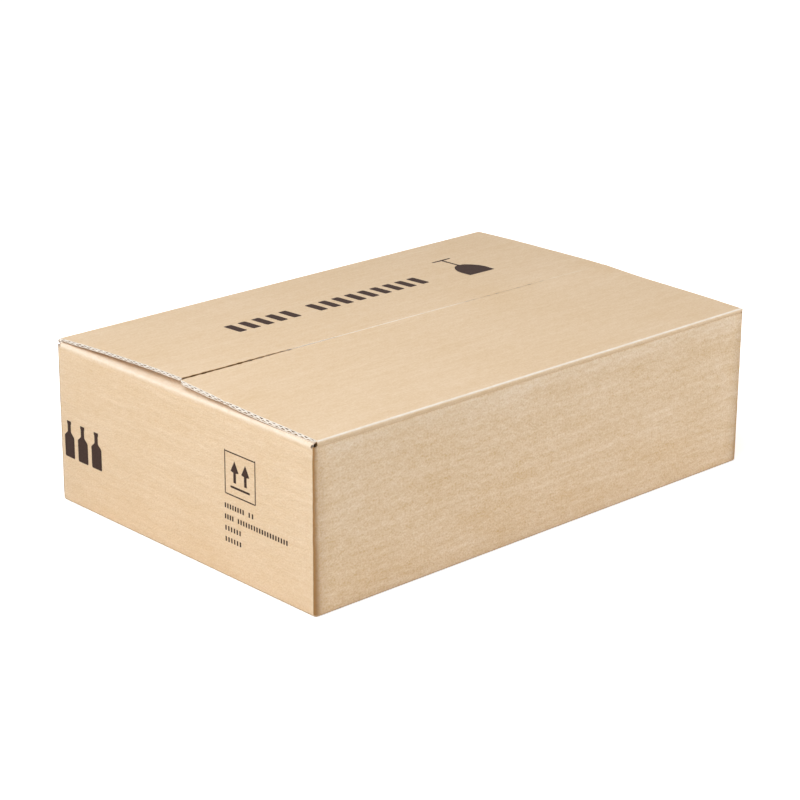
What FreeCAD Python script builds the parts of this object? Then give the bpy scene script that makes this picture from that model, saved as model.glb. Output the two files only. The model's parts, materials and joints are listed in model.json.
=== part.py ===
# Bottle shipping box: a closed folding carton of corrugated board for three bottles that lie side by side.
# X runs along the box, Y across it and Z up. The origin is on the floor under the middle of the box.
# Sizes are in millimetres.

import FreeCAD, Part
import math
import os

# The carton, over its outside faces and its top folds
LENGTH = 380.0
WIDTH = 250.0
HEIGHT = 110.0
BOARD = 3.0

# Folds and cuts of the sheet
UPRIGHT_FOLD_RADIUS = 3.0
INSIDE_FOLD_RADIUS = 0.6
TOP_FOLD_RADIUS = 2.6
LIP_HEIGHT_OVER_FLOOR = 0.6
CORNER_SLOT = 1.0
GLUE_LAP_WIDTH = 35.0
GLUE_LAP_CLEAR_OF_FLAP = 2.0

# The outer top flaps: how far they spring up along the seam, and how they are cut
FRONT_SEAM_RISE = 3.4
REAR_SEAM_RISE = 4.4
SEAM_GAP = 1.0
FLAP_END_SETBACK = 2.5
HINGE_CLEARANCE = 0.3
HINGE_LIP = 0.8

# The wave of paper inside the board, seen at the flaps' cut ends
FLUTE_PITCH = 5.6
LINER = 0.45
WAVE_PAPER = 0.4
FLUTES_CLEAR_OF_EDGE = 1.6

# The insert that parts and carries the bottles
BOTTLES = 3
BOTTLE_DIAMETER = 76.0
NECK_DIAMETER = 30.0
BOTTLE_PLAY = 1.0
INSERT_BOARD = 3.0
INSERT_END_PLAY = 1.0
INSERT_HEADROOM = 1.0
LAP_SLOT_PLAY = 0.2
BODY_CRADLE_PLACES = (-128.0, 0.0)
NECK_CRADLE_PLACE = 118.0
BODY_CRADLE_BELOW_AXIS = 20.0
NOTCH_SIDES = 8

# Places worked out from the sizes above
HALF_LENGTH = LENGTH / 2
HALF_WIDTH = WIDTH / 2
INSIDE_LENGTH = LENGTH - 2 * BOARD
INSIDE_WIDTH = WIDTH - 2 * BOARD
WALL_TOP = HEIGHT - BOARD - HINGE_CLEARANCE
FLAP_LENGTH = HALF_WIDTH - SEAM_GAP / 2
FLAP_HALF_SPAN = HALF_LENGTH - FLAP_END_SETBACK
FOLD_RADIUS = min(TOP_FOLD_RADIUS, BOARD)
INNER_FLAP_HALF_WIDTH = INSIDE_WIDTH / 2 - CORNER_SLOT
# The inner flaps bow up half as far as the lower outer flap, which keeps them just under it everywhere.
INNER_FLAP_BOW = min(FRONT_SEAM_RISE, REAR_SEAM_RISE) / 2
INNER_FLAP_GAP = LENGTH - 2 * FLAP_LENGTH
INSERT_TOP = WALL_TOP - BOARD - INSERT_HEADROOM
BOTTLE_AXIS_HEIGHT = (2 * BOARD + WALL_TOP - BOARD) / 2
CELL_PITCH = (INSIDE_WIDTH + INSERT_BOARD) / BOTTLES
LAP_SLOT = INSERT_BOARD + 2 * LAP_SLOT_PLAY


def vector(x, y, z):
    return FreeCAD.Vector(x, y, z)


def box(low, high):
    """A block between two opposite corners."""
    sizes = [b - a for a, b in zip(low, high)]
    return Part.makeBox(*sizes, vector(*low))


def rounded_plan(length, width, radius):
    """A flat rectangle about the Z axis, its corners rounded."""
    block = Part.makeBox(length, width, 1, vector(-length / 2, -width / 2, 0))
    upright = [e for e in block.Edges if abs(e.tangentAt(e.FirstParameter).z) > 0.9]
    block = block.makeFillet(radius, upright)
    return min(block.Faces, key=lambda f: f.CenterOfMass.z)


def wall_ring():
    """The four walls with their upright folds."""
    outside = rounded_plan(LENGTH, WIDTH, UPRIGHT_FOLD_RADIUS)
    inside = rounded_plan(INSIDE_LENGTH, INSIDE_WIDTH, INSIDE_FOLD_RADIUS)
    rise = vector(0, 0, WALL_TOP - LIP_HEIGHT_OVER_FLOOR)
    ring = outside.extrude(rise).cut(inside.extrude(rise))
    ring.translate(vector(0, 0, LIP_HEIGHT_OVER_FLOOR))
    return ring


def fold_round(length, radius, along, x, y):
    """What a rounded fold takes off a wall's lower outer edge at height 0. x and y say where the edge is."""
    if along == "x":
        start = vector(-length / 2, y, 0)
        inward = vector(0, -math.copysign(radius, y), 0)
        run = vector(length, 0, 0)
    else:
        start = vector(x, -length / 2, 0)
        inward = vector(-math.copysign(radius, x), 0, 0)
        run = vector(0, length, 0)
    up = vector(0, 0, radius)
    middle = start + (inward + up) * (1 - math.sqrt(0.5))
    edges = [
        Part.makeLine(start, start + inward),
        Part.Arc(start + inward, middle, start + up).toShape(),
        Part.makeLine(start + up, start),
    ]
    return Part.Face(Part.Wire(edges)).extrude(run)


def outer_bottom_flap(side):
    """One of the two bottom flaps that the box stands on. side is -1 for the front one and 1 for the rear."""
    near, far = sorted((side * SEAM_GAP / 2, side * HALF_WIDTH))
    end = INSIDE_LENGTH / 2 - HINGE_CLEARANCE
    return box((-end, near, 0), (end, far, BOARD))


def inner_bottom_flap(end):
    """A bottom flap that is glued on top of the two outer ones. end is -1 for the left end and 1 for the right."""
    wall, free = end * (HALF_LENGTH - BOARD / 2), end * INNER_FLAP_GAP / 2
    low, high = sorted((wall, free))
    return box((low, -INNER_FLAP_HALF_WIDTH, BOARD), (high, INNER_FLAP_HALF_WIDTH, 2 * BOARD))


def bowed_sheet(x, depth):
    """The section of an inner top flap across the box, from its bowed top face down by depth, as a face at x."""
    half, bow = INNER_FLAP_HALF_WIDTH, INNER_FLAP_BOW
    top = [vector(x, -half, WALL_TOP), vector(x, 0, WALL_TOP + bow), vector(x, half, WALL_TOP)]
    low = [p - vector(0, 0, depth) for p in top]
    edges = [
        Part.Arc(*top).toShape(),
        Part.makeLine(top[2], low[2]),
        Part.Arc(*low).toShape(),
        Part.makeLine(low[0], top[0]),
    ]
    return Part.Face(Part.Wire(edges))


def inner_top_flap(end):
    """An inner top flap with the top of its end wall: the fold between them is the end wall's soft crest."""
    wall_depth = 2 * BOARD + INNER_FLAP_BOW
    wall = bowed_sheet(end * HALF_LENGTH, wall_depth).extrude(vector(-end * BOARD, 0, 0))
    flap = bowed_sheet(end * HALF_LENGTH, BOARD).extrude(vector(-end * FLAP_LENGTH, 0, 0))
    piece = wall.fuse(flap).removeSplitter()
    crest = [
        e for e in piece.Edges
        if abs(e.BoundBox.XMin - e.BoundBox.XMax) < 0.01
        and abs(e.CenterOfMass.x - end * HALF_LENGTH) < 0.01
        and e.BoundBox.ZMax > WALL_TOP + INNER_FLAP_BOW - 0.01
    ]
    return piece.makeFillet(FOLD_RADIUS, crest)


def crest_point(inward):
    """A point on the round crest of a long wall's top fold, inward from the wall's outer face. It is drawn in
    the YZ plane with the wall's outer face at Y 0 and the closed flap's top face at Z 0."""
    fall = FOLD_RADIUS - math.sqrt(FOLD_RADIUS ** 2 - (FOLD_RADIUS - inward) ** 2)
    return vector(0, inward, -fall)


def crest_arc(first, last):
    """The crest's round between two distances inward."""
    return Part.Arc(crest_point(first), crest_point((first + last) / 2), crest_point(last)).toShape()


def span_long_way(section):
    """A face in the YZ plane pulled out along the box, as far as an outer top flap goes."""
    piece = section.extrude(vector(2 * FLAP_HALF_SPAN, 0, 0))
    piece.translate(vector(-FLAP_HALF_SPAN, 0, 0))
    return piece


def set_on_wall(piece, side):
    """Moves what is drawn about the fold line to the front wall, or turns it round to the rear one."""
    piece.translate(vector(0, -HALF_WIDTH, HEIGHT))
    if side > 0:
        piece.rotate(vector(0, 0, 0), vector(0, 0, 1), 180)
    return piece


def hinge_lip(side):
    """The outer paper of a long wall, which runs up past the wall's top into the fold's crest."""
    root = -(BOARD + HINGE_CLEARANCE + BOARD / 2)
    corners = [vector(0, HINGE_LIP, root), vector(0, 0, root)]
    edges = [
        Part.makeLine(corners[0], corners[1]),
        Part.makeLine(corners[1], crest_point(0)),
        crest_arc(0, HINGE_LIP),
        Part.makeLine(crest_point(HINGE_LIP), corners[0]),
    ]
    return set_on_wall(span_long_way(Part.Face(Part.Wire(edges))), side)


def glue_lap():
    """The strip of the sheet that turns the last corner and is glued to the inside of the rear wall."""
    face, corner = INSIDE_WIDTH / 2, INSIDE_LENGTH / 2
    top = WALL_TOP - BOARD - GLUE_LAP_CLEAR_OF_FLAP
    return box((corner - GLUE_LAP_WIDTH, face - BOARD, 2 * BOARD), (corner, face, top))


def carton():
    """The folded sheet without its two outer top flaps."""
    sheet = wall_ring().fuse(glue_lap())
    for side in (-1, 1):
        sheet = sheet.fuse([outer_bottom_flap(side), inner_bottom_flap(side), inner_top_flap(side)])
        sheet = sheet.fuse(hinge_lip(side))
    for side in (-1, 1):
        sheet = sheet.cut(fold_round(LENGTH + BOARD, BOARD, "x", 0, side * HALF_WIDTH))
        end_round = fold_round(WIDTH + BOARD, BOARD - HINGE_CLEARANCE, "y", side * HALF_LENGTH, 0)
        end_round.translate(vector(0, 0, LIP_HEIGHT_OVER_FLOOR))
        sheet = sheet.cut(end_round)
    return sheet.removeSplitter()


def flute_cells(first, last):
    """The hollows of the board's section between two places across it, each as a closed wire. The section
    lies in the YZ plane with the board's top face at Z 0. Each pitch of the wave leaves one hollow under its
    crest and one over its trough."""
    middle = -BOARD / 2
    swing = BOARD / 2 - LINER - WAVE_PAPER / 2
    count = int((last - first) // FLUTE_PITCH)
    start = first + ((last - first) - count * FLUTE_PITCH) / 2
    half_paper = WAVE_PAPER / 2
    # How far from a crest the hollow reaches, with the wave paper's own thickness left on each side
    reach = FLUTE_PITCH / 2 - WAVE_PAPER
    wires = []
    for number in range(count):
        for upper in (False, True):
            centre = start + (number + (1.0 if upper else 0.5)) * FLUTE_PITCH
            if upper and number == count - 1:
                continue
            sign = 1 if upper else -1
            flat = middle + sign * (swing + half_paper)
            tip = middle - sign * (swing - half_paper)
            ends = [vector(0, centre - reach, flat), vector(0, centre + reach, flat)]
            crest = Part.Arc(
                vector(0, centre - reach / 2, middle),
                vector(0, centre, tip),
                vector(0, centre + reach / 2, middle),
            ).toShape()
            edges = [
                Part.makeLine(ends[0], vector(0, centre - reach / 2, middle)),
                crest,
                Part.makeLine(vector(0, centre + reach / 2, middle), ends[1]),
                Part.makeLine(ends[1], ends[0]),
            ]
            wires.append(Part.Wire(edges))
    return wires


def top_flap(side, rise):
    """An outer top flap of fluted board. It is drawn flat with its fold line along the X axis and its free
    edge towards +Y, then tilted up and set on the front wall or turned round to the rear one."""
    tilt = math.asin(rise / FLAP_LENGTH)
    start = HINGE_LIP + HINGE_CLEARANCE
    reach = FLAP_LENGTH / math.cos(tilt)
    corners = [vector(0, reach, 0), vector(0, reach, -BOARD), vector(0, start, -BOARD)]
    edges = [
        crest_arc(start, FOLD_RADIUS),
        Part.makeLine(crest_point(FOLD_RADIUS), corners[0]),
        Part.makeLine(corners[0], corners[1]),
        Part.makeLine(corners[1], corners[2]),
        Part.makeLine(corners[2], crest_point(start)),
    ]
    cells = flute_cells(start + FLUTES_CLEAR_OF_EDGE, reach - LINER)
    section = Part.makeFace([Part.Wire(edges)] + cells, "Part::FaceMakerBullseye")
    flap = span_long_way(section)
    flap.rotate(vector(0, 0, 0), vector(1, 0, 0), math.degrees(tilt))
    return set_on_wall(flap, side)


def cell_middles():
    """Where the bottles' middle lines lie across the box."""
    return [(n - (BOTTLES - 1) / 2) * CELL_PITCH for n in range(BOTTLES)]


def divider_middles():
    """Where the long dividers stand across the box."""
    return [(n + 1 - BOTTLES / 2) * CELL_PITCH for n in range(BOTTLES - 1)]


def cradle_floor(place):
    """What a cradle stands on: the inner bottom flaps, or the outer ones in the gap between the inner."""
    over_gap = abs(place) + INSERT_BOARD / 2 < INNER_FLAP_GAP / 2
    return BOARD if over_gap else 2 * BOARD


def body_cradle_top():
    """The body cradles' top edge, between the bottles' undersides and their middle lines."""
    return BOTTLE_AXIS_HEIGHT - BODY_CRADLE_BELOW_AXIS


def lap_height(place, top):
    """Where a cradle and a divider meet in each other's slots, halfway up the cradle."""
    return (cradle_floor(place) + top) / 2


def notch(place, middle, radius):
    """What a bottle's notch takes off a cradle: a prism of straight cuts that touch the circle of that radius."""
    corner = radius / math.cos(math.pi / NOTCH_SIDES)
    turns = [(2 * n + 1) * math.pi / NOTCH_SIDES for n in range(NOTCH_SIDES)]
    outline = [
        vector(place - INSERT_BOARD, middle + corner * math.cos(turn), BOTTLE_AXIS_HEIGHT + corner * math.sin(turn))
        for turn in turns
    ]
    return Part.Face(Part.makePolygon(outline + outline[:1])).extrude(vector(2 * INSERT_BOARD, 0, 0))


def cradle(place, top, notch_radius):
    """A strip across the box with a notch for each bottle and a slot from above for each divider."""
    half_board, half = INSERT_BOARD / 2, INSIDE_WIDTH / 2 - INSERT_END_PLAY
    strip = box((place - half_board, -half, cradle_floor(place)), (place + half_board, half, top))
    for middle in cell_middles():
        strip = strip.cut(notch(place, middle, notch_radius))
    for middle in divider_middles():
        low = (place - INSERT_BOARD, middle - LAP_SLOT / 2, lap_height(place, top))
        high = (place + INSERT_BOARD, middle + LAP_SLOT / 2, top + INSERT_BOARD)
        strip = strip.cut(box(low, high))
    return strip


def divider(middle, cradles):
    """A long strip between two bottles, slotted from below over each cradle. It stands on the inner flaps."""
    half_board, half = INSERT_BOARD / 2, INSIDE_LENGTH / 2 - INSERT_END_PLAY
    strip = box((-half, middle - half_board, 2 * BOARD), (half, middle + half_board, INSERT_TOP))
    for place, top in cradles:
        low = (place - LAP_SLOT / 2, middle - INSERT_BOARD, 0)
        high = (place + LAP_SLOT / 2, middle + INSERT_BOARD, lap_height(place, top))
        strip = strip.cut(box(low, high))
    return strip


def insert_pieces():
    """The dividers and cradles by name."""
    body_notch = BOTTLE_DIAMETER / 2 + BOTTLE_PLAY
    neck_notch = NECK_DIAMETER / 2 + BOTTLE_PLAY
    cradles = [(place, body_cradle_top()) for place in BODY_CRADLE_PLACES]
    cradles.append((NECK_CRADLE_PLACE, BOTTLE_AXIS_HEIGHT))
    pieces = {}
    for number, (place, top) in enumerate(cradles[:-1], 1):
        pieces["body_cradle_%d" % number] = cradle(place, top, body_notch)
    pieces["neck_cradle"] = cradle(NECK_CRADLE_PLACE, BOTTLE_AXIS_HEIGHT, neck_notch)
    for number, middle in enumerate(divider_middles(), 1):
        pieces["divider_%d" % number] = divider(middle, cradles)
    return pieces


def main():
    pieces = {
        "carton": carton(),
        "top_flap_front": top_flap(-1, FRONT_SEAM_RISE),
        "top_flap_rear": top_flap(1, REAR_SEAM_RISE),
    }
    pieces.update(insert_pieces())
    os.makedirs("parts", exist_ok=True)
    for name, shape in pieces.items():
        shape.exportStep("parts/%s.step" % name)
        print("%-16s solids %d valid %s volume %.0f" % (name, len(shape.Solids), shape.isValid(), shape.Volume))


main()
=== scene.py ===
import json
import math
from collections import namedtuple

import bmesh
import bpy
from bpy.props import FloatProperty, FloatVectorProperty, PointerProperty
from mathutils import Matrix, Vector, noise


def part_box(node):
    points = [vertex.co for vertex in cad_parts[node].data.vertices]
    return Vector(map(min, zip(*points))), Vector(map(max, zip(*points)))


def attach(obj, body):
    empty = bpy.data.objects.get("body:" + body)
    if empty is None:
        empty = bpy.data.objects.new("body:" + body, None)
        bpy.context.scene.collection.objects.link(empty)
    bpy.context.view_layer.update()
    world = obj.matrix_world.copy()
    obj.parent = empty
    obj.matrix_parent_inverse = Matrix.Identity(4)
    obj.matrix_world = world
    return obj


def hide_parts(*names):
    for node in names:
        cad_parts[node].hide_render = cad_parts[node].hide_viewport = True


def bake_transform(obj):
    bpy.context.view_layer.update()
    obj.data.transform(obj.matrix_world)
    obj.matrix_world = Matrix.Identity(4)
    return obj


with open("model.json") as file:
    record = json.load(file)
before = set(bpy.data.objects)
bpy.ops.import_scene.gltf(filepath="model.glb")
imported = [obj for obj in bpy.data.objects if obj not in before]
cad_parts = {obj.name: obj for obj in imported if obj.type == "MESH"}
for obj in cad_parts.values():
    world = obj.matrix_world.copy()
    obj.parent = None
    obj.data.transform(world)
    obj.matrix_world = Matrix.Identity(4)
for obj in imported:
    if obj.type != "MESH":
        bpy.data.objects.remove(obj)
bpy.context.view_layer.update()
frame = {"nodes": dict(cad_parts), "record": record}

bl_info = {
    "name": "Bottle shipping box",
    "version": (1, 0, 0),
    "blender": (4, 5, 0),
    "location": "View3D > Sidebar > Shipping box",
    "description": "Dresses a folding carton of corrugated board: paper, folds, cut edges, print and studio",
    "category": "Add Mesh",
}

MM = 0.001

# The frame that the construction gives
FOLDS = {joint["name"]: joint["pos_m"] for joint in frame["record"]["behaviour"]["joints"]}
FOLD_HEIGHT = FOLDS["front_flap_fold"][2]
HALF_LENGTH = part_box("carton")[1].x
HALF_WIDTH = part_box("carton")[1].y
FLAP_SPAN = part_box("top_flap_front")[1].x
NODE_OF_FLAP = {-1: "top_flap_front", 1: "top_flap_rear"}


def linear(colour):
    """An sRGB hex colour as the linear numbers that a shader takes."""
    parts = [int(colour[i:i + 2], 16) / 255 for i in (1, 3, 5)]
    return [p / 12.92 if p <= 0.04045 else ((p + 0.055) / 1.055) ** 2.4 for p in parts]


def length_prop(name, description, default):
    """A length whose default is given in millimetres."""
    return FloatProperty(name=name, description=description, default=default * MM, min=0.0, unit="LENGTH",
                         precision=5)


def colour_prop(name, description, default):
    return FloatVectorProperty(name=name, description=description, default=linear(default), subtype="COLOR",
                               size=3, min=0.0, max=1.0)


def strength_prop(name, description):
    return FloatProperty(name=name, description=description, default=1.0, min=0.0)


class BoardSizes(bpy.types.PropertyGroup):
    """Sizes of the corrugated board and of its folds."""

    board: length_prop("Board", "Thickness of the board away from its folds", 3.0)
    paper: length_prop("Paper", "Thickness of each outer paper, a little heavy so that it shows", 0.4)
    wave_paper: length_prop("Wave paper", "Thickness of the wave between the papers", 0.32)
    cut_paper: length_prop("Cut paper", "Thickness that a paper's frayed edge shows at a cut end", 0.55)
    cut_wave: length_prop("Cut wave", "Thickness that the wave's frayed edge shows at a cut end", 1.15)
    flute: length_prop("Flute", "Distance from one crest of the wave to the next", 5.6)
    crest: length_prop("Crest", "Outer radius of a long wall's top fold", 1.4)
    end_crest: length_prop("End crest", "Outer radius of an end wall's top fold", 2.2)
    end_crease: length_prop("End crease", "Depth of the scored line under an end wall's top fold", 0.12)
    pressed: length_prop("Pressed board", "Thickness of the board where a fold has pressed it", 2.3)
    crease: length_prop("Crease", "Depth of the scored line under a top fold", 0.5)
    crease_drop: length_prop("Crease drop", "How far the scored line lies under the fold's top", 4.0)
    post: length_prop("Corner", "Radius of the upright folds", 2.2)
    foot: length_prop("Foot", "Radius of the folds along the floor", 1.6)


class BoardColours(bpy.types.PropertyGroup):
    """Colours of the papers and of the ink."""

    face: colour_prop("Face paper", "Brown kraft paper on the outside of the carton", "#E9CEAC")
    back: colour_prop("Back paper", "Kraft paper on the inside of the carton", "#D9B990")
    cut: colour_prop("Cut paper", "Torn and cut fibres at an edge", "#FFF7EC")
    wave: colour_prop("Wave paper", "Recycled paper of the wave", "#C9A67C")
    ink: colour_prop("Ink", "Dark brown water-based ink", "#3D2C26")


class StageLook(bpy.types.PropertyGroup):
    """The studio round the box."""

    floor: colour_prop("Floor", "White floor", "#F4F3F1")
    key: strength_prop("Key light", "Strength of the soft light from the left")
    fill: strength_prop("Fill light", "Strength of the soft light from the right")


def add_node(tree, kind, settings=None, links=None):
    """Adds a node: settings go to its inputs or its own fields, links join its inputs to other sockets."""
    node = tree.nodes.new("ShaderNode" + kind)
    for key, value in (settings or {}).items():
        if isinstance(key, int) or key in node.inputs:
            node.inputs[key].default_value = value
        else:
            setattr(node, key, value)
    for key, socket in (links or {}).items():
        tree.links.new(socket, node.inputs[key])
    return node


def new_material(name):
    material = bpy.data.materials.new(name)
    material.use_nodes = True
    material.node_tree.nodes.clear()
    return material, material.node_tree


def rgba(colour):
    return list(colour) + [1.0]


def add_shader(tree, settings, links):
    shader = add_node(tree, "BsdfPrincipled", settings, links)
    add_node(tree, "OutputMaterial", {}, {"Surface": shader.outputs[0]})


def paper_coordinates(tree, mapped):
    """The place on the paper in metres: the piece's own map where it has one, else the object's place."""
    if mapped:
        return add_node(tree, "UVMap", {"uv_map": "UVMap"}).outputs["UV"]
    return add_node(tree, "TexCoord").outputs["Object"]


def noise_at(tree, place, size, detail=2.0, stretch=(1.0, 1.0, 1.0), roughness=0.5):
    """Noise whose grains are about as large as size, in metres."""
    mapping = add_node(tree, "Mapping", {"Scale": stretch}, {"Vector": place})
    settings = {"Scale": 1.0 / size, "Detail": detail, "Roughness": roughness}
    return add_node(tree, "TexNoise", settings, {"Vector": mapping.outputs[0]}).outputs["Fac"]


def spread(tree, value, low, high, to_low=0.0, to_high=1.0):
    settings = {"From Min": low, "From Max": high, "To Min": to_low, "To Max": to_high}
    return add_node(tree, "MapRange", settings, {"Value": value}).outputs["Result"]


def maths(tree, operation, *values):
    """A Math node of numbers and sockets."""
    settings, links = {"operation": operation}, {}
    for place, value in enumerate(values):
        (links if isinstance(value, bpy.types.NodeSocket) else settings)[place] = value
    return add_node(tree, "Math", settings, links).outputs[0]


def mixed(tree, share, first, second):
    """A colour between two, each a socket or a list of numbers."""
    settings, links = {"data_type": "RGBA"}, {}
    for place, value in ((0, share), (6, first), (7, second)):
        (links if isinstance(value, bpy.types.NodeSocket) else settings)[place] = value
    return add_node(tree, "Mix", settings, links).outputs[2]


def bumped(tree, height, strength=1.0, distance=1.0):
    return add_node(tree, "Bump", {"Strength": strength, "Distance": distance},
                    {"Height": height}).outputs[0]


def shaded(tree, colour, tone):
    return add_node(tree, "VectorMath", {"operation": "SCALE", 0: list(colour)},
                    {"Scale": tone}).outputs[0]


# Most values of a noise lie between these two
NOISE_LOW, NOISE_HIGH = 0.3, 0.7
# The grain of brown paper: the size of its spots, how much the paper's first axis is squeezed so that they
# lie along it, how much paler or darker they get, how high they stand where the relief is 1, and their noise.
# Single fibres are under 0.1 mm wide, so their clumps are drawn.
Grain = namedtuple("Grain", "size squeeze contrast height detail roughness")
GRAINS = {
    "fibres": Grain(1.2 * MM, 0.8, 0.07, 0.2 * MM, 2.0, 0.6),
    "specks": Grain(2.8 * MM, 0.4, 0.035, 0.08 * MM, 2.0, 0.5),
    "clouds": Grain(8 * MM, 0.15, 0.035, 0.15 * MM, 3.0, 0.5),
    "patches": Grain(70 * MM, 1.0, 0.02, 0.0, 2.0, 0.5),
}
# How much more red, green and blue change than the grain's tone
GRAIN_GAINS = (0.64, 1.04, 1.87)
# The wave inside the board that shows through its face: how much paler and how high its crests are
WAVE_CONTRAST, WAVE_HEIGHT = 0.013, 0.04 * MM
# The shares of the paper's own colour kept in the painted shade of folds and holes, and what is left of those
# in the painted near-black shade deep in a slot
PAINTED_SHADE_SHARES = (0.43, 0.3, 0.165)
SLOT_SHADE = 0.08
# How much more the grain's colour shows on the long walls: painted shading of the paper's relief under raking
# light
RAKING_SHADE_GAIN = 1.05
PAPER_GLOSS = {"IOR": 1.48, "Specular IOR Level": 0.2}


def grained(tree, colour, tone):
    """Brown paper with paler and darker grains. Their blue changes most, as pale fibres are less yellow."""
    swing = [part * gain for part, gain in zip(colour, GRAIN_GAINS)]
    return add_node(tree, "VectorMath", {"operation": "MULTIPLY_ADD", 1: swing, 2: list(colour)},
                    {0: maths(tree, "SUBTRACT", tone, 1.0)}).outputs[0]


def kraft_grain(tree, place, relief, flute=None):
    """How pale the paper is from place to place, how high it stands, and its fibres and specks. relief is how
    strongly its unevenness shows, and flute how far apart the wave inside lies where it shows through."""
    tone, height, seen = 1.0, 0.0, {}
    for name, grain in GRAINS.items():
        stretch = (grain.squeeze, 1.0, 1.0)
        seen[name] = noise_at(tree, place, grain.size, grain.detail, stretch, grain.roughness)
        paler = spread(tree, seen[name], NOISE_LOW, NOISE_HIGH, 1 - grain.contrast, 1 + grain.contrast)
        tone = maths(tree, "MULTIPLY", tone, paler)
        height = maths(tree, "MULTIPLY_ADD", seen[name], grain.height * relief, height)
    if flute:
        # A wave texture of scale 1 has a crest every pi / 10
        settings = {"wave_type": "BANDS", "bands_direction": "Y", "Scale": math.pi / (10 * flute),
                    "Distortion": 2.5, "Detail": 1.0, "Detail Scale": 0.35}
        waves = add_node(tree, "TexWave", settings, {"Vector": place}).outputs["Fac"]
        waves = maths(tree, "MULTIPLY", waves, spread(tree, seen["clouds"], 0.4, 0.65, 0.25, 1.0))
        paler = spread(tree, waves, 0.0, 1.0, 1 + WAVE_CONTRAST, 1 - WAVE_CONTRAST)
        tone = maths(tree, "MULTIPLY", tone, paler)
        height = maths(tree, "MULTIPLY_ADD", waves, WAVE_HEIGHT * relief, height)
    return tone, height, seen["fibres"], seen["specks"]


def crushed_and_painted_shade(tree, fold, fibres, colour):
    """Painted shade: the colour turns brown where fold is below 0, and almost black where it is -2, inside a
    slot.
    """
    brown = [part * share for part, share in zip(colour, PAINTED_SHADE_SHARES)]
    dark = rgba([part * SLOT_SHADE for part in brown])
    painted_brown_shade = mixed(tree, spread(tree, fold, 0.0, -1.0), fibres, rgba(brown))
    return mixed(tree, spread(tree, fold, -1.0, -2.0), painted_brown_shade, dark)


def attribute(tree, name):
    return add_node(tree, "Attribute", {"attribute_name": name}).outputs["Fac"]


def kraft_paper(name, colour, cut, relief, flute=None):
    """Kraft linerboard, made of long brown wood fibres: matt, finely mottled, the wave inside showing through
    as faint bands. On the long walls its grain's colour contrast is raised, painted shading of its relief
    under raking light. Folds get a painted highlight, partly paler split fibres, and painted shade as a dark
    line."""
    material, tree = new_material(name)
    tone, height, fibres, specks = kraft_grain(tree, paper_coordinates(tree, True), relief, flute)
    fold = attribute(tree, "fold_tone")
    # Painted relief shading: the grain's colour contrast is raised on the walls that face along y, the long
    # walls
    gain = maths(tree, "MULTIPLY_ADD", attribute(tree, "painted_raking_shade"), RAKING_SHADE_GAIN, 1.0)
    tone = maths(tree, "MULTIPLY_ADD", maths(tree, "SUBTRACT", tone, 1.0), gain, 1.0)
    # A painted highlight on the folds, partly paler split fibres: the colour goes towards the cut paper's
    # where fold is above 0
    frayed = maths(tree, "MULTIPLY", spread(tree, fold, 0.0, 1.0),
                   spread(tree, specks, 0.35, 0.6, 0.75, 1.0))
    pale = mixed(tree, frayed, grained(tree, colour, tone), rgba(cut))
    roughness = spread(tree, fibres, NOISE_LOW, NOISE_HIGH, 0.72, 0.88)
    add_shader(tree, PAPER_GLOSS, {"Base Color": crushed_and_painted_shade(tree, fold, pale, colour), "Roughness": roughness,
                                   "Normal": bumped(tree, height)})
    return material


def insert_board(name, colours, sizes, across_axis, middle):
    """Plain brown board of a slotted insert, its wave upright: cut edges show the wave between two papers. It
    is thin along across_axis, and middle is where its middle lies on that axis."""
    # Shares of the board's thickness, and the share of the wave's colour left in the painted shade of the
    # holes
    skin, half_wave, hole_shade = 0.14, 0.08, 0.3
    material, tree = new_material(name)
    place = paper_coordinates(tree, False)
    tone, height = kraft_grain(tree, place, 0.6)[:2]
    parts = add_node(tree, "SeparateXYZ", {}, {0: place}).outputs
    deep = maths(tree, "MULTIPLY", maths(tree, "SUBTRACT", parts[across_axis], middle), 1 / sizes.board)
    turn = maths(tree, "MULTIPLY", parts[1 - across_axis], 2 * math.pi / sizes.flute)
    wave = maths(tree, "MULTIPLY", maths(tree, "COSINE", turn), 0.5 - skin - half_wave)
    off_wave = maths(tree, "ABSOLUTE", maths(tree, "SUBTRACT", deep, wave))
    on_wave = maths(tree, "LESS_THAN", off_wave, half_wave)
    on_skin = maths(tree, "GREATER_THAN", maths(tree, "ABSOLUTE", deep), 0.5 - skin)
    cut = mixed(tree, maths(tree, "MAXIMUM", on_wave, on_skin), rgba([c * hole_shade for c in colours.wave]),
                shaded(tree, colours.cut, tone))
    facing = add_node(tree, "TexCoord").outputs["Normal"]
    facing = add_node(tree, "SeparateXYZ", {}, {0: facing}).outputs[across_axis]
    edge = maths(tree, "LESS_THAN", maths(tree, "ABSOLUTE", facing), 0.5)
    add_shader(tree, {**PAPER_GLOSS, "Roughness": 0.82},
               {"Base Color": mixed(tree, edge, grained(tree, colours.back, tone), cut),
                "Normal": bumped(tree, height)})
    return material


def cut_paper(name, colour, face):
    """Paper fibres at a die-cut edge: paler than the face, rough and fluffy, with painted shade at folds and
    a painted near-black shade inside the slots.
    """
    material, tree = new_material(name)
    fluff = noise_at(tree, paper_coordinates(tree, True), 1.2 * MM, 3.0)
    fibres = shaded(tree, colour, spread(tree, fluff, NOISE_LOW, NOISE_HIGH, 0.86, 1.06))
    add_shader(tree, {**PAPER_GLOSS, "Roughness": 0.95},
               {"Base Color": crushed_and_painted_shade(tree, attribute(tree, "fold_tone"), fibres, face),
                "Normal": bumped(tree, fluff, 0.5, 0.15 * MM)})
    return material


def flexo_ink(name, colour):
    """Water-based ink pressed on brown paper by a rubber plate: matt, even, a little thin over the fibres."""
    material, tree = new_material(name)
    fibres = noise_at(tree, paper_coordinates(tree, True), 1.3 * MM, 3.0)
    add_shader(tree, {"IOR": 1.45, "Specular IOR Level": 0.25, "Roughness": 0.8},
               {"Base Color": shaded(tree, colour, spread(tree, fibres, NOISE_LOW, 0.75, 0.85, 1.3))})
    return material


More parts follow.
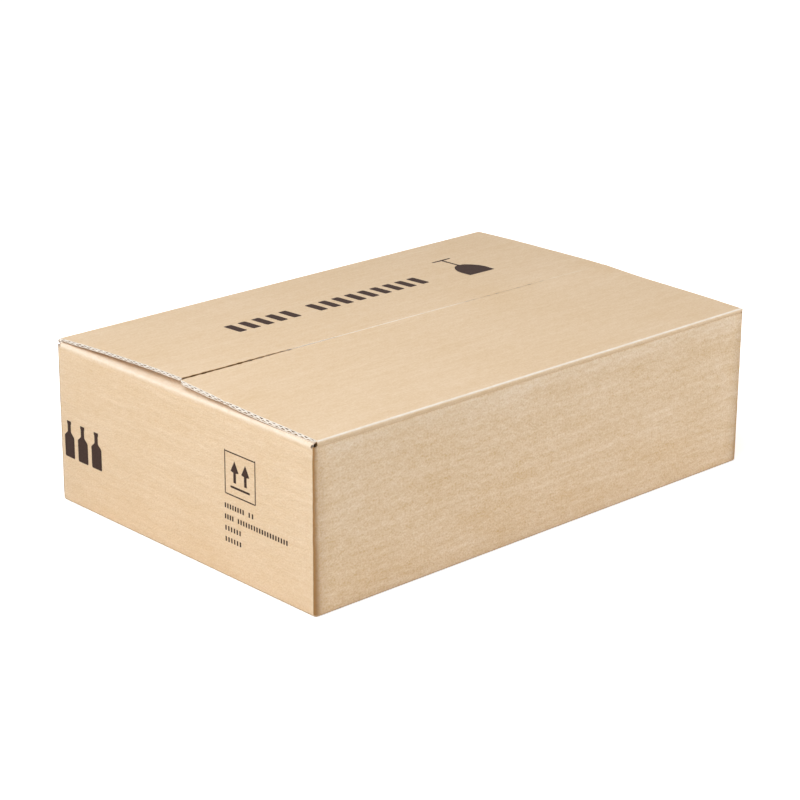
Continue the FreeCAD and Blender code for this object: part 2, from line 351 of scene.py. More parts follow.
def paper_materials(sizes, colours, flat=False):
    """The papers of the carton, made once and shared by its pieces. A flap's face is smoother than a wall's,
    which the wave inside and the load on it have made uneven."""
    face = "kraft_flap_paper" if flat else "kraft_wall_paper"
    if face not in bpy.data.materials:
        kraft_paper(face, colours.face, colours.cut, 0.5 if flat else 2.5, sizes.flute)
    if "cut_paper_edge" not in bpy.data.materials:
        kraft_paper("kraft_back_paper", colours.back, colours.cut, 0.8, sizes.flute)
        kraft_paper("wave_paper", colours.wave, colours.cut, 0.8)
        cut_paper("cut_paper_edge", colours.cut, colours.face)
    return [bpy.data.materials[name] for name in (face, "kraft_back_paper", "wave_paper", "cut_paper_edge")]


FACE, BACK, WAVE, CUT = range(4)


def evenly(first, last, count):
    return [first + (last - first) * n / count for n in range(count + 1)]


def ramp(value, low, high):
    """0 at low, 1 at high, and smooth between them."""
    share = max(0.0, min(1.0, (value - low) / (high - low)))
    return share * share * (3 - 2 * share)


def wobble(x, y, size, seed=0.0):
    """Gentle unevenness between -1 and 1 whose swells are about as large as size."""
    return noise.noise(Vector((x / size, y / size, seed)))


def face_outward(mesh):
    bmesh.ops.recalc_face_normals(mesh, faces=mesh.faces[:])
    return mesh


def index_sheet(columns, rows, layers=True):
    """A sheet whose vertices stand on whole numbers: x is the column, y the row and z the layer."""
    mesh = bmesh.new()
    bmesh.ops.create_grid(mesh, x_segments=columns, y_segments=rows, size=0.5)
    stretch = Matrix.Diagonal((columns, rows, 1.0, 1.0)) @ Matrix.Translation((0.5, 0.5, 0.0))
    bmesh.ops.transform(mesh, matrix=stretch, verts=mesh.verts)
    if layers:
        raised = bmesh.ops.extrude_face_region(mesh, geom=mesh.faces[:])["geom"]
        verts = [v for v in raised if isinstance(v, bmesh.types.BMVert)]
        bmesh.ops.translate(mesh, verts=verts, vec=(0.0, 0.0, 1.0))
        face_outward(mesh)
    return mesh


def set_sheet(across, along, depths, place, finish, tone=None):
    """A sheet in its place. place(b, a, depth) gives the point, finish the material of the low face, the high
    face and the rim, and tone(b, a) how pale or dark a fold is."""
    mesh = index_sheet(len(across) - 1, len(along) - 1)
    paper_map = mesh.loops.layers.uv.new("UVMap")
    fold_tone = mesh.verts.layers.float.new("fold_tone")
    for face in mesh.faces:
        heights = {round(v.co.z) for v in face.verts}
        face.material_index = finish[2] if len(heights) > 1 else finish[heights.pop()]
        face.smooth = True
        for loop in face.loops:
            loop[paper_map].uv = (across[round(loop.vert.co.x)], along[round(loop.vert.co.y)])
    for vert in mesh.verts:
        b, a, depth = across[round(vert.co.x)], along[round(vert.co.y)], depths[round(vert.co.z)]
        vert.co = place(b, a, depth(b, a) if callable(depth) else depth)
        vert[fold_tone] = tone(b, a) if tone else 0.0
    return mesh


def join_sheets(parts):
    """One bmesh from several."""
    whole = bmesh.new()
    for part in parts:
        data = bpy.data.meshes.new("part")
        part.to_mesh(data)
        part.free()
        whole.from_mesh(data)
        bpy.data.meshes.remove(data)
    return whole


def add_object(name, data):
    made = bpy.data.objects.new(name, data)
    bpy.context.scene.collection.objects.link(made)
    return made


# Faces that meet at more than this stay crisp
CRISP_ANGLE = math.radians(35.0)


def finish_piece(name, mesh, materials):
    """Makes the object of a piece from its bmesh."""
    data = bpy.data.meshes.new(name)
    mesh.to_mesh(data)
    mesh.free()
    data.set_sharp_from_angle(angle=CRISP_ANGLE)
    for material in materials:
        data.materials.append(material)
    return add_object(name, data)


# How far the closed flaps have sprung open over the seam, as the photograph shows it: -1 is the front flap, 1
# the rear one, near is the end by the eye, and the curve says how much of the rise comes early
NEAR_RISE = {-1: 4.6 * MM, 1: 5.2 * MM}
FAR_RISE = {-1: 2.8 * MM, 1: 2.6 * MM}
FLAP_CURVE = {-1: 1.0, 1: 1.7}
# How far a long wall's fold lies over its height, and how far each flap's near end has slipped along the box
CREST_LIFT = {"near": 0.1 * MM, "far": -0.8 * MM}
FLAP_SHIFT = {-1: -0.9 * MM, 1: 0.9 * MM}
SEAM_HALF_GAP = 0.65 * MM
# The slots that the die cuts between the flaps, seen as a small hole at each top corner
SLOT_DEPTH = 1.1 * MM
SLOT_RUN = 1.9 * MM
# The place on the front flap's near end that a knock has crushed, and its share of the thickness
CRUSH_PLACE, CRUSH_WIDTH, CRUSH_SHARE = 82 * MM, 7 * MM, 0.28
# How dark the painted shade in the holes is: the one by the eye, which shows the inside, and the others
NEAR_HOLE, OTHER_HOLE = 2.2, 0.6


def near_share(x):
    """1 at the box's near end, 0 at its far end."""
    return (HALF_LENGTH - x) / (2 * HALF_LENGTH)


def seam_closed(x):
    """1 where the flaps' free edges press together, 0 where they stand apart: apart at the near end, past the
    middle and at the far end."""
    share = 1 - near_share(x)
    near = 1 - ramp(share, 0.2, 0.27)
    middle = 0.6 * ramp(share, 0.61, 0.66) * (1 - ramp(share, 0.82, 0.88))
    far = 0.45 * ramp(share, 0.92, 0.95)
    return 1 - near - middle - far


def seam_opening(x):
    """How far each flap's free edge stands back from the middle."""
    apart = 1 - seam_closed(x)
    return SEAM_HALF_GAP * (0.02 + apart * max(0.0, 0.4 + 2.2 * wobble(x, 0, 4 * MM, 5.0)))


def swell(along, z, half, ease, middle, waves):
    """How far a wall stands out of its plane: most in its middle, with long and short waves."""
    belly = math.sin(math.pi * min(1.0, max(0.0, z / FOLD_HEIGHT)))
    wave = sum(height * wobble(along, z * squeeze, size, seed) for height, squeeze, size, seed in waves)
    return ramp(half - abs(along), 0.0, ease) * belly * (middle + wave)


def long_wall_swell(side, x, z):
    return swell(x, z, HALF_LENGTH, 30 * MM, 0.5 * MM,
                 ((0.35 * MM, 1.5, 90 * MM, 3.0 + side), (0.12 * MM, 4, 30 * MM, 7.0 + side)))


def end_wall_swell(end, y, z):
    return swell(y, z, HALF_WIDTH, 25 * MM, 0.3 * MM,
                 ((0.3 * MM, 1.5, 80 * MM, 13.0 + end), (0.1 * MM, 4, 25 * MM, 17.0 + end)))


def crest_run(crest):
    return crest * math.pi / 2


def slot_share(a, b, half, width):
    """1 at a panel's end beside its fold, where the die's slot ends, 0 beyond width from the panel's end."""
    beside = 1 - ramp(abs(a), 0.4 * SLOT_RUN, SLOT_RUN)
    return beside * ramp(abs(b), half - width, half)


def flap_stations(sizes, crest, fine):
    """Places along a top flap's section, from its scored line over the fold to the free edge. fine is the
    distance between places on the flat."""
    run, drop = crest_run(crest), sizes.crease_drop - crest
    reach = HALF_WIDTH - crest
    stations = evenly(-drop, 0.0, 8)[:-1] + evenly(0.0, run, 10)[:-1]
    stations += evenly(run, run + 9 * MM, 12)[:-1]
    stations += evenly(run + 9 * MM, run + reach - 4 * MM, round((reach - 13 * MM) / fine))[:-1]
    return stations + evenly(run + reach - 4 * MM, run + reach, 12)


def folded_section(sizes, crest, crease, a, depth, rise, opening, squeeze):
    """A point of a panel's section, inward from the wall's outer face and up from the fold's top. a runs on
    the outer paper from where the fold's round begins. depth is 0 on the outer paper and 1 on the inner."""
    run, drop, flat = crest_run(crest), sizes.crease_drop - crest, HALF_WIDTH - crest
    pressed, corner = sizes.pressed, 0.5 * MM
    if a <= 0:
        share = -a / drop
        outer = Vector((crease * ramp(share, 0.35, 1.0), -crest + a))
        inner = Vector((pressed + (sizes.board - pressed) * share,
                        -pressed - corner - share * (1.2 * MM + drop)))
    elif a < run:
        turn = a / crest
        outer = Vector((crest * (1 - math.cos(turn)), crest * (math.sin(turn) - 1)))
        inner = Vector((pressed + corner * (1 - math.cos(turn)), -pressed - corner * (1 - math.sin(turn))))
    else:
        way = a - run
        share = way / flat
        edge = HALF_WIDTH - opening
        thick = pressed + (sizes.board - pressed) * ramp(way, 0.0, 14 * MM)
        thick -= 0.6 * MM * ramp(way, flat - 3 * MM, flat)
        thick *= squeeze
        height, start = rise(share), pressed + corner
        outer = Vector((crest + (edge - crest) * share, height))
        inner = Vector((start + (edge - start) * share, height - thick))
        outer.y -= (sizes.board - thick) * 0.25 * ramp(way, 20 * MM, 40 * MM)
    return outer.lerp(inner, depth)


def top_flap_point(sizes, side, b, a, depth):
    """A point of an outer top flap's sheet."""
    near = near_share(b)

    def rise(share):
        power = FLAP_CURVE[side]
        bow = 1 - (1 - share) ** power if power > 1 else 0.85 * share + 0.15 * share ** 6
        uneven = 0.35 * MM * wobble(b, share * HALF_WIDTH, 60 * MM, 21.0 + side)
        uneven *= ramp(share, 0.02, 0.3)
        return (near * NEAR_RISE[side] + (1 - near) * FAR_RISE[side]) * bow + uneven

    way = a - crest_run(sizes.crest)
    ends = ramp(abs(b), FLAP_SPAN - 5 * MM, FLAP_SPAN)
    crushed_and_painted_shade = 0.0
    if side < 0 and b < 0:
        crushed_and_painted_shade = CRUSH_SHARE * math.exp(-((way - CRUSH_PLACE) / CRUSH_WIDTH) ** 2)
    # The rear flap's near end is pressed thin, most beside its fold
    pressed = 0.3 - 0.16 * way / HALF_WIDTH if side > 0 and b < 0 else 0.04
    squeeze = 1 - ends * (pressed + 0.1 * abs(wobble(way, b, 9 * MM, 31.0 + side)) + crushed_and_painted_shade)
    u, h = folded_section(sizes, sizes.crest, sizes.crease, a, depth, rise, seam_opening(b), squeeze)
    h -= 0.6 * MM * ends * crushed_and_painted_shade / CRUSH_SHARE * (0.5 + wobble(way, 0, 2.5 * MM, 33.0))
    lift = near * CREST_LIFT["near"] + (1 - near) * CREST_LIFT["far"]
    fade = ramp(a, sizes.crest - sizes.crease_drop, 0.0)
    swell = long_wall_swell(side, b, FOLD_HEIGHT - sizes.crease_drop) * (1 - fade)
    shift = FLAP_SHIFT[side] * ramp(way, 0.0, 60 * MM) * ramp(abs(b), 150 * MM, FLAP_SPAN)
    ragged = 0.35 * MM * ends * wobble(way, depth, 4 * MM, 41.0 + side) * ramp(a, 0.0, 10 * MM)
    out = ragged - SLOT_DEPTH * slot_share(a, b, FLAP_SPAN, 3 * MM)
    x = b + (shift if b < 0 else 0.0) + math.copysign(out, b)
    return Vector((x, side * (HALF_WIDTH - u + swell), FOLD_HEIGHT + h + lift * fade))


def top_fold_tone(sizes, side, b, a):
    """The look of a long wall's top fold: a painted highlight on its round, partly paler split fibres,
    painted shade on the lip under it and at the scored line, and painted shade in the holes. The free edge
    shows pale cut fibres and a painted highlight where the seam is closed, else painted shade."""
    run, drop = crest_run(sizes.crest), sizes.crease_drop - sizes.crest
    edge = run + HALF_WIDTH - sizes.crest
    pale = math.exp(-((a - 0.52 * run) / (0.3 * run)) ** 2)
    lip = -0.12 * ramp(-a, 0.0, 0.3 * drop) - 0.35 * ramp(-a, 0.86 * drop, drop)
    closed = seam_closed(b)
    line = 0.6 * closed * ramp(a, edge - 0.8 * MM, edge)
    line -= (1 - closed) * ramp(a, edge - 0.5 * MM, edge)
    hole = NEAR_HOLE if side < 0 and b < 0 else OTHER_HOLE
    return pale + lip + line - hole * slot_share(a, b, FLAP_SPAN, 0.8 * MM)


def fluted_panel(sizes, crest, across, stations, place, tone):
    """Outer paper, wave and inner paper of one panel of board. The wave's crests run along b. Where the die
    has cut across them, the frayed papers are thicker and leave only small holes."""
    thickness = sizes.board
    run = crest_run(crest)

    def fray(b):
        return 1 - ramp(across[-1] - abs(b), 0.0, 2.2 * MM)

    def skin(b):
        return (sizes.paper + (sizes.cut_paper - sizes.paper) * fray(b)) / thickness

    def half_wave(b, a):
        ragged = sizes.cut_wave * (1 + 0.45 * wobble(a, 0, 3 * MM, 81.0) + 0.5 * wobble(a, 0, 16 * MM, 83.0))
        return (sizes.wave_paper + (ragged - sizes.wave_paper) * fray(b)) / thickness / 2

    def wave(b, a, side):
        half = half_wave(b, a)
        swing = 0.5 - skin(b) - half
        return 0.5 - swing * math.cos(2 * math.pi * (a - run) / sizes.flute) + side * half

    outer = set_sheet(across, stations, (0.0, lambda b, a: skin(b)), place, (FACE, BACK, CUT), tone)
    inner = set_sheet(across, stations, (lambda b, a: 1 - skin(b), 1.0), place, (BACK, BACK, CUT), tone)
    wave_rows = evenly(stations[0] + 0.2 * MM, stations[-1] - 0.3 * MM,
                       round((stations[-1] - stations[0]) / sizes.flute * 12))
    ends = [across[-1] - inset * MM for inset in (0.15, 0.6, 1.2, 2.2)]
    wave_columns = [-b for b in ends] + evenly(-ends[-1], ends[-1], 26)[1:-1] + ends[::-1]
    depths = (lambda b, a: wave(b, a, -1), lambda b, a: wave(b, a, 1))
    # The wave keeps only the painted shade of the fold tone, not its painted highlights
    middle = set_sheet(wave_columns, wave_rows, depths, place, (WAVE, WAVE, CUT),
                       lambda b, a: min(0.0, tone(b, a)))
    return face_outward(join_sheets([outer, middle, inner]))


def span_stations(half, count, edge=3 * MM):
    """Places across a panel, closer together near its two ends."""
    inner = half - edge
    return evenly(-half, -inner, 4)[:-1] + evenly(-inner, inner, count)[:-1] + evenly(inner, half, 4)


def build_top_flap(sizes, colours, side):
    across = span_stations(FLAP_SPAN, 130)
    mesh = fluted_panel(sizes, sizes.crest, across, flap_stations(sizes, sizes.crest, 3.2 * MM),
                        lambda b, a, depth: top_flap_point(sizes, side, b, a, depth),
                        lambda b, a: top_fold_tone(sizes, side, b, a))
    name = "front_flap_sheet" if side < 0 else "rear_flap_sheet"
    piece = finish_piece(name, mesh, paper_materials(sizes, colours, True))
    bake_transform(piece)
    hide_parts(NODE_OF_FLAP[side])


def finish_carton_piece(name, mesh, sizes, colours, flat=True):
    """Makes the object of a piece of the carton's sheet that doesn't move on its own."""
    piece = finish_piece(name, mesh, paper_materials(sizes, colours, flat))
    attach(piece, "carton")
    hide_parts("carton")


# The end walls' own top folds and the inner top flaps behind them: -1 is the left end, 1 the right one
INNER_CREST_DROP = {-1: 2.4 * MM, 1: 3.2 * MM}
INNER_BOW = 0.5 * MM
INNER_RISE = {-1: 3.0 * MM, 1: 0.5 * MM}
INNER_HALF = HALF_WIDTH - 2.3 * MM
CORNER_DROP = 3.7 * MM


def inner_crest_height(end, y):
    """The top of an end wall's fold, bowed up a little to the middle."""
    return FOLD_HEIGHT - INNER_CREST_DROP[end] + INNER_BOW * (1 - (y / INNER_HALF) ** 2)


def inner_flap_point(sizes, end, b, a, depth):
    """A point of an inner top flap's sheet, which runs inward from the end wall under the outer flaps."""

    def rise(share):
        spring = max(0.0, 1 - abs(b) / INNER_HALF) ** 1.5 * math.sin(math.pi / 2 * min(1.0, share / 0.1))
        uneven = 0.2 * MM * wobble(b, share * HALF_WIDTH, 50 * MM, 51.0 + end)
        return INNER_RISE[end] * spring + uneven * share

    u, h = folded_section(sizes, sizes.end_crest, sizes.end_crease, a, depth, rise, SEAM_HALF_GAP, 1.0)
    fade = ramp(a, sizes.end_crest - sizes.crease_drop, 0.0)
    top = inner_crest_height(end, b)
    swell = end_wall_swell(end, b, top - sizes.crease_drop) * (1 - fade)
    y = b - math.copysign(SLOT_DEPTH * slot_share(a - 0.6 * SLOT_RUN, b, INNER_HALF, 3 * MM), b)
    return Vector((end * (HALF_LENGTH - u + swell), y, top + h))


def end_fold_tone(sizes, b, a):
    """A painted highlight on the soft round of an end wall's top fold, painted light on the board just
    behind it under the outer flaps, and painted shade in the holes at its ends.
    """
    run = crest_run(sizes.end_crest)
    crest = 0.5 * math.exp(-((a - 0.45 * run) / (0.5 * run)) ** 2)
    behind = 0.35 * ramp(a, 0.6 * run, run) * (1 - ramp(a, 3 * run, 5 * run))
    return crest + behind - slot_share(a - 0.6 * SLOT_RUN, b, INNER_HALF, 0.4 * MM)


def build_inner_flap(sizes, colours, end):
    across = span_stations(INNER_HALF, 50)
    mesh = fluted_panel(sizes, sizes.end_crest, across, flap_stations(sizes, sizes.end_crest, 4.0 * MM),
                        lambda b, a, depth: inner_flap_point(sizes, end, b, a, depth),
                        lambda b, a: end_fold_tone(sizes, b, a))
    name = "left_inner_flap" if end < 0 else "right_inner_flap"
    finish_carton_piece(name, mesh, sizes, colours)


Column = namedtuple("Column", "place out top bend from_end")


def wall_places(half, count):
    """Places along a wall, closer together near its upright folds."""
    close = [inset * MM for inset in (0.0, 0.5, 1.0, 1.7, 2.6, 4.0)]
    middle = evenly(-half + 7 * MM, half - 7 * MM, count)
    return [-half + c for c in close] + middle + [half - c for c in close[::-1]]


def wall_columns(sizes):
    """Places round the four walls, anticlockwise: where each stands at the floor, which way is out, where the
    wall ends at its top, how far into a fold's round it is, and how far past the end wall's last flat."""
    long_half, short_half = HALF_LENGTH - sizes.post, HALF_WIDTH - sizes.post
    corner_top = FOLD_HEIGHT - CORNER_DROP
    columns = []
    for quarter in range(4):
        turn = Matrix.Rotation(quarter * math.pi / 2, 2)
        long_wall = quarter % 2 == 0
        half, other = (long_half, short_half) if long_wall else (short_half, long_half)
        places = wall_places(half, 74 if long_wall else 48)
        if not long_wall:
            step = 0.05 * MM
            breaks = [side * INNER_HALF + nudge for side in (-1, 1) for nudge in (-step, step)]
            places = sorted([p for p in places if min(abs(p - b) for b in breaks) > 0.3 * MM] + breaks)
        for place in places:
            to_fold = half - abs(place)
            if long_wall:
                top, from_end = FOLD_HEIGHT - sizes.crease_drop, to_fold + crest_run(sizes.post)
            else:
                inside = abs(place) < INNER_HALF
                end = 1 if quarter == 1 else -1
                top = inner_crest_height(end, place) - sizes.crease_drop if inside else corner_top
                from_end = -to_fold
            foot, out = turn @ Vector((place, -other - sizes.post)), turn @ Vector((0.0, -1.0))
            columns.append(Column(foot, out, top, 0.0, from_end))
        centre = turn @ Vector((half, -other))
        for step in range(1, 11):
            angle = step / 11 * math.pi / 2
            out = turn @ Vector((math.sin(angle), -math.cos(angle)))
            from_end = sizes.post * (math.pi / 2 - angle if long_wall else angle)
            columns.append(Column(centre + out * sizes.post, out, corner_top, math.sin(2 * angle), from_end))
    return columns


def wall_rows():
    """Rows of a wall: down its outer face, round the fold at the floor and up its inner face. Each is a part
    of the wall, how far along that part it is, and a drop from the top in metres."""
    drops = [drop * MM for drop in (0.0, 0.3, 0.6, 1.0, 1.5, 2.2, 3.2, 4.6, 6.5, 9.0)]
    rows = [("outer", 0.0, drop) for drop in drops]
    rows += [("outer", share, drops[-1] * (1 - share)) for share in evenly(0.0, 1.0, 28)[1:]]
    rows += [("roll", turn, 0.0) for turn in evenly(0.0, math.pi / 2, 6)[1:]]
    return rows + [("inner", share, 0.0) for share in evenly(0.0, 1.0, 12)]


def wall_swell(point, z):
    if abs(point.y) > HALF_WIDTH - 0.01 * MM:
        return long_wall_swell(math.copysign(1, point.y), point.x, z)
    if abs(point.x) > HALF_LENGTH - 0.01 * MM:
        return end_wall_swell(math.copysign(1, point.x), point.y, z)
    return 0.0


def wall_point(sizes, column, row):
    part, share, drop = row
    if part == "outer":
        z = column.top - drop - (column.top - drop - sizes.foot) * share
        below = column.top - z
        depth = -wall_swell(column.place, z)
        if column.bend:
            depth += 0.18 * MM * wobble(z, column.bend, 7 * MM, 61.0) * column.bend
        else:
            crease = sizes.crease if column.from_end > 0 else sizes.end_crease
            depth += crease * (1 - ramp(below, 0.0, 1.1 * MM))
            lip = ramp(below, 0.5 * MM, 3 * MM) * (1 - ramp(below, 5 * MM, 16 * MM))
            depth -= crease / 2 * lip
    elif part == "roll":
        z, depth = sizes.foot * (1 - math.sin(share)) + 0.02 * MM, sizes.foot * (1 - math.cos(share))
    else:
        z, depth = 0.02 * MM + (column.top - 1.5 * MM - column.bend * 3 * SLOT_DEPTH) * share, sizes.board
    place = column.place - column.out * depth
    return Vector((place.x, place.y, z))


def wall_tone(column, row, z):
    """The painted shade of an upright fold, a dark line sharp beside the end wall and faded into the long
    wall, with a painted highlight on the end wall's last millimetre; painted near-black shade inside the
    corner holes, painted shade along the floor, and painted light on the wall under the top fold."""
    part, share = row[:2]
    # Painted near-black shade in the corner holes, on the inner face at the upright folds
    if part == "inner":
        return -2 * column.bend
    # Painted shade along the floor, on the rolled lower edge
    if part == "roll":
        return -0.6 * ramp(share, 0.0, 0.6)
    # A painted highlight on the end wall's last millimetre, and the painted shade of the upright fold as a
    # dark line
    run = column.from_end + 0.5 * MM * wobble(z, 0, 9 * MM, 63.0)
    if run < 0:
        fold = 0.14 * math.exp(run / (1.0 * MM))
    else:
        wide = (3.6 + 4 * (1 - z / FOLD_HEIGHT) ** 2) * MM
        fold = -ramp(run, 0.0, 0.4 * MM) * (0.75 * (1 - ramp(run, 0.7 * MM, wide))
                                                   + 0.25 * (1 - ramp(run, 2 * MM, 14 * MM)))
    below = column.top - z
    if column.bend or column.from_end < 0:
        return fold
    # Painted light on the wall just under the top fold
    pale = 0.14 * math.exp(-below / (6 * MM)) + 0.07 * math.exp(-below / (22 * MM))
    return fold + ramp(below, 0.3 * MM, 1.0 * MM) * pale


def build_walls(sizes, colours):
    """The four walls as one ring of board with soft upright folds and a rolled lower edge."""
    columns, rows = wall_columns(sizes), wall_rows()
    travelled = [0.0]
    for first, second in zip(columns, columns[1:] + columns[:1]):
        travelled.append(travelled[-1] + (second.place - first.place).length)
    mesh = index_sheet(len(columns), len(rows), layers=False)
    paper_map = mesh.loops.layers.uv.new("UVMap")
    fold_tone, painted_raking_shade = (mesh.verts.layers.float.new(name) for name in ("fold_tone", "painted_raking_shade"))
    places = {vert: (round(vert.co.x), round(vert.co.y)) for vert in mesh.verts}
    for vert, (number, level) in places.items():
        column, row = columns[number % len(columns)], rows[level % len(rows)]
        vert.co = wall_point(sizes, column, row)
        # The long walls get the painted relief shading: a stronger contrast in their grain's colour
        vert[fold_tone], vert[painted_raking_shade] = wall_tone(column, row, vert.co.z), abs(column.out.y)
    outside = sum(row[0] != "inner" for row in rows)
    for face in mesh.faces:
        level = sum(places[v][1] for v in face.verts) / 4
        face.smooth = True
        face.material_index = FACE if level < outside else CUT if level > len(rows) - 1 else BACK
        for loop in face.loops:
            loop[paper_map].uv = (travelled[places[loop.vert][0]], loop.vert.co.z)
    bmesh.ops.remove_doubles(mesh, verts=mesh.verts, dist=0.002 * MM)
    finish_carton_piece("carton_walls", face_outward(mesh), sizes, colours, False)


def flat_board(name, low, high, sizes, colours, warp=0.0, seed=0.0):
    """A flat panel of solid-looking board lying between two corners, its long sides along X."""
    across = evenly(low[0], high[0], max(4, round((high[0] - low[0]) / (6 * MM))))
    along = evenly(low[1], high[1], max(4, round((high[1] - low[1]) / (6 * MM))))

    def place(b, a, depth):
        lift = warp * (0.5 + 0.5 * wobble(b, a, 60 * MM, seed))
        return Vector((b, a, high[2] + (low[2] - high[2]) * depth + lift))

    mesh = set_sheet(across, along, (0.0, 1.0), place, (BACK, FACE, CUT))
    finish_carton_piece(name, face_outward(mesh), sizes, colours)


def build_bottom(sizes, colours):
    """The two outer bottom flaps, which meet in a seam, and the two inner ones glued on top of them."""
    board, reach = sizes.board, HALF_LENGTH - sizes.board - 0.3 * MM
    for side, name in ((-1, "front_bottom_flap"), (1, "rear_bottom_flap")):
        near, far = sorted((side * SEAM_HALF_GAP, side * (HALF_WIDTH - sizes.foot)))
        flat_board(name, (-reach, near, 0.02 * MM), (reach, far, board), sizes, colours)
    for end, name in ((-1, "left_bottom_flap"), (1, "right_bottom_flap")):
        near, far = sorted((end * (HALF_LENGTH - HALF_WIDTH + SEAM_HALF_GAP), end * (HALF_LENGTH - board)))
        flat_board(name, (near, -INNER_HALF, board + 0.02 * MM), (far, INNER_HALF, 2 * board), sizes, colours,
                   0.3 * MM, 71.0 + end)


def build_glue_lap(sizes, colours):
    """The strip that closes the ring of walls, glued to the inside of the rear wall."""
    corner, face = HALF_LENGTH - sizes.board, HALF_WIDTH - sizes.board
    low, high = 2 * sizes.board, FOLD_HEIGHT - 3.4 * sizes.board
    width, taper = 35 * MM, 9 * MM
    across, along = evenly(corner - width, corner, 8), evenly(low, high, 24)

    def place(b, a, depth):
        inward = (corner - b) / width
        middle = (low + high) / 2
        slope = 1 - taper * inward / (high - middle)
        return Vector((b, face - sizes.board * depth + 0.01 * MM, middle + (a - middle) * slope))

    mesh = set_sheet(across, along, (0.0, 1.0), place, (BACK, BACK, CUT))
    finish_carton_piece("glue_lap", face_outward(mesh), sizes, colours)


INSERT_NODES = ("divider_1", "divider_2", "body_cradle_1", "body_cradle_2", "neck_cradle")


def dress_insert(sizes, colours):
    """The insert keeps its construction and gets its board's finish."""
    for node in INSERT_NODES:
        low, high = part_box(node)
        axis = 1 if node.startswith("divider") else 0
        finish = insert_board("kraft_" + node, colours, sizes, axis, (low[axis] + high[axis]) / 2)
        piece = frame["nodes"][node]
        piece.data.materials.clear()
        piece.data.materials.append(finish)


# How far the print lies over its paper
INK_LIFT = 0.07 * MM


def profile_strip(half_widths, length, rows, columns=4):
    """A flat mark in its own plane: half_widths(t) is half its width at share t of its length. Its points are
    given as (across, along)."""
    mesh = index_sheet(columns, rows, layers=False)
    for vert in mesh.verts:
        t = vert.co.y / rows
        vert.co = Vector(((2 * vert.co.x / columns - 1) * half_widths(t), length * t, 0.0))
    return mesh


def printed(name, marks, place, body, ink):
    """One piece of print from several flat marks, laid on a panel by place(across, along)."""
    mesh = join_sheets(marks)
    paper_map = mesh.loops.layers.uv.new("UVMap")
    for face in mesh.faces:
        face.smooth = True
        for loop in face.loops:
            loop[paper_map].uv = loop.vert.co.xy
    for vert in mesh.verts:
        vert.co = place(vert.co.x, vert.co.y)
    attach(finish_piece(name, mesh, [ink]), body)


def moved(mesh, across, along, turn=0.0):
    bmesh.ops.transform(mesh, matrix=Matrix.Translation((across, along, 0.0)) @ Matrix.Rotation(turn, 4, "Z"),
                        verts=mesh.verts)
    return mesh


def bar(width, length):
    """A plain bar whose corners are a little round."""
    ease = min(0.3, 0.12 * width / length)

    def half(t):
        return width / 2 * (0.86 + 0.14 * ramp(min(t, 1 - t), 0.0, ease))

    return profile_strip(half, length, max(8, round(length / (1.5 * MM))))


def bottle_mark(width, height):
    """The outline of a standing bottle, filled."""

    def half(t):
        shoulder = ramp(t, 0.56, 0.72)
        lip = 1.25 if t > 0.93 else 1.0
        foot = 0.9 + 0.1 * ramp(t, 0.0, 0.03)
        return width / 2 * foot * (1 - 0.66 * shoulder) * lip

    return profile_strip(half, height, 30)


def goblet_mark(width, height):
    """A plain stemmed glass, filled."""

    def half(t):
        # The foot, the stem and the cup
        if t < 0.05:
            return width * 0.34
        if t < 0.45:
            return width * 0.035 + width * 0.02 * ramp(t, 0.38, 0.45)
        cup = (t - 0.45) / 0.55
        return width / 2 * math.sin(math.pi / 2 * min(1.0, 0.1 + 1.3 * cup)) ** 0.6 * (1 - 0.06 * cup)

    return profile_strip(half, height, 60, 8)


def arrow_mark(width, height):
    """An upward arrow."""

    def half(t):
        return width * 0.16 if t < 0.5 else width * (1 - t)

    return profile_strip(half, height, 24)


def end_wall_place(y_start, z_start):
    """Places print on the left end wall: across runs towards the front wall, along runs up."""

    def place(across, along):
        y, z = y_start - across, z_start + along
        return Vector((-HALF_LENGTH - end_wall_swell(-1, y, z) - INK_LIFT, y, z))

    return place


def rear_flap_place(sizes, x_start, y_start):
    """Places print on the rear top flap: across runs towards the near end, along runs towards the seam."""

    def place(across, along):
        x, y = x_start - across, y_start - along
        share = (HALF_WIDTH - sizes.crest - y) / (HALF_WIDTH - sizes.crest - seam_opening(x))
        a = crest_run(sizes.crest) + (HALF_WIDTH - sizes.crest) * share
        return top_flap_point(sizes, 1, x, a, 0.0) + Vector((0.0, 0.0, INK_LIFT))

    return place


def tick_row(words, tick, gap, height, drop):
    """A row of short upright ticks in groups, as small print looks from a step away. words are lengths."""
    marks, start = [], 0.0
    for word in words:
        count = round(word / (tick + gap))
        for number in range(count):
            marks.append(moved(bar(tick, height), start + (number + 0.5) * word / count, -drop))
        start += word + 2.5 * gap
    return marks


